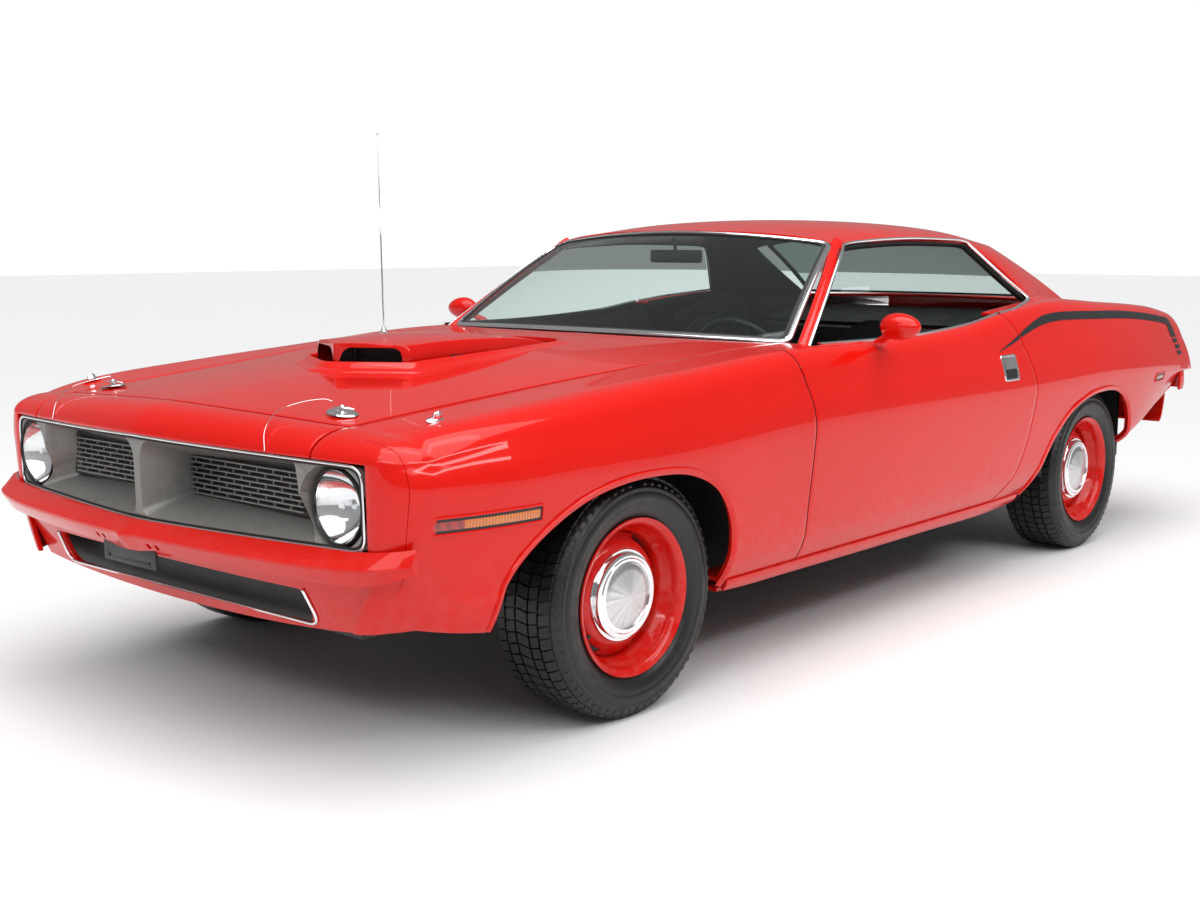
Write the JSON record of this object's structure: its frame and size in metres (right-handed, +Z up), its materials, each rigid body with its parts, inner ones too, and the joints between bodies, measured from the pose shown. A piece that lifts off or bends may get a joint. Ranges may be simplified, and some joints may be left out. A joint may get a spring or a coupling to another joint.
{
  "type": "muscle car",
  "caption": "Two-door fastback muscle car with a scoop on its engine, opening doors, hood and decklid, steered front wheels and free-rolling wheels.",
  "frame": {"origin": "on the ground, midway along the car's length and width", "axes": "-Y towards the front of the car, +X towards its left (driver's) side, +Z up"},
  "size_m": [2.0594, 4.742, 1.5805],
  "materials": {
    "paint": "gloss",
    "argent": "satin",
    "chrome": "polished",
    "black_paint": "satin",
    "glass": "polished",
    "vinyl": "satin",
    "black_plastic": "satin",
    "tyre": "matte",
    "steel": "rough",
    "lens": "gloss"
  },
  "bodies": {
    "root": {"floor_pan": "black_paint", "hinge_pillars": "paint", "cowl_panel": "black_paint", "front_fenders": "paint", "header_panel": "paint", "front_valance": "paint", "front_bumper": "paint", "grille_surround": "argent", "grille_mesh": "black_paint", "headlamps": "chrome", "quarter_panels": "paint", "rocker_panels": "paint", "roof_panel": "paint", "windshield": "glass", "rear_window": "glass", "deck_filler": "paint", "tail_panel": "paint", "tail_lamps": "lens", "rear_bumper": "paint", "rear_valance": "paint", "shaker_scoop": "paint", "engine_block": "steel", "seats": "vinyl", "dashboard": "black_plastic", "steering_wheel": "black_plastic", "front_subframe": "steel", "rear_axle": "steel", "fuel_tank": "steel", "exhaust": "steel", "wheelhouses": "black_paint", "antenna": "chrome"},
    "hood": {"hood": "paint"},
    "decklid": {"decklid": "paint"},
    "left_door": {"left_door": "paint", "left_mirror": "paint"},
    "right_door": {"right_door": "paint", "right_mirror": "paint"},
    "left_knuckle": {"left_knuckle": "steel"},
    "right_knuckle": {"right_knuckle": "steel"},
    "front_left_wheel": {"front_left_tyre": "tyre", "front_left_wheel": "paint", "front_left_hub_cap": "chrome"},
    "front_right_wheel": {"front_right_tyre": "tyre", "front_right_wheel": "paint", "front_right_hub_cap": "chrome"},
    "rear_left_wheel": {"rear_left_tyre": "tyre", "rear_left_wheel": "paint", "rear_left_hub_cap": "chrome"},
    "rear_right_wheel": {"rear_right_tyre": "tyre", "rear_right_wheel": "paint", "rear_right_hub_cap": "chrome"}
  },
  "joints": [
    {"name": "left_door_hinge", "type": "hinge", "parent": "root", "child": "left_door", "pos_m": [0.884, -0.79, 0.6], "axis": [0, 0, -1], "range_deg": [0, 65]},
    {"name": "right_door_hinge", "type": "hinge", "parent": "root", "child": "right_door", "pos_m": [-0.884, -0.79, 0.6], "axis": [0, 0, 1], "range_deg": [0, 65]},
    {"name": "hood_hinge", "type": "hinge", "parent": "root", "child": "hood", "pos_m": [0.65, -0.634, 0.896], "axis": [-1, 0, 0], "range_deg": [0, 50]},
    {"name": "decklid_hinge", "type": "hinge", "parent": "root", "child": "decklid", "pos_m": [0.12, 1.568, 0.978], "axis": [1, 0, 0], "range_deg": [0, 65]},
    {"name": "left_steering", "type": "hinge", "parent": "root", "child": "left_knuckle", "pos_m": [0.69, -1.442, 0.318], "axis": [0, 0, 1], "range_deg": [-32, 32]},
    {"name": "right_steering", "type": "hinge", "parent": "root", "child": "right_knuckle", "pos_m": [-0.69, -1.442, 0.318], "axis": [0, 0, 1], "range_deg": [-32, 32]},
    {"name": "front_left_roll", "type": "hinge", "parent": "left_knuckle", "child": "front_left_wheel", "pos_m": [0.758, -1.442, 0.318], "axis": [1, 0, 0], "continuous": true},
    {"name": "front_right_roll", "type": "hinge", "parent": "right_knuckle", "child": "front_right_wheel", "pos_m": [-0.758, -1.442, 0.318], "axis": [1, 0, 0], "continuous": true},
    {"name": "rear_left_roll", "type": "hinge", "parent": "root", "child": "rear_left_wheel", "pos_m": [0.771, 1.301, 0.318], "axis": [1, 0, 0], "continuous": true},
    {"name": "rear_right_roll", "type": "hinge", "parent": "root", "child": "rear_right_wheel", "pos_m": [-0.771, 1.301, 0.318], "axis": [1, 0, 0], "continuous": true}
  ],
  "couplings": [
    {"joint": "right_steering", "follows": "left_steering", "ratio": 1}
  ]
}
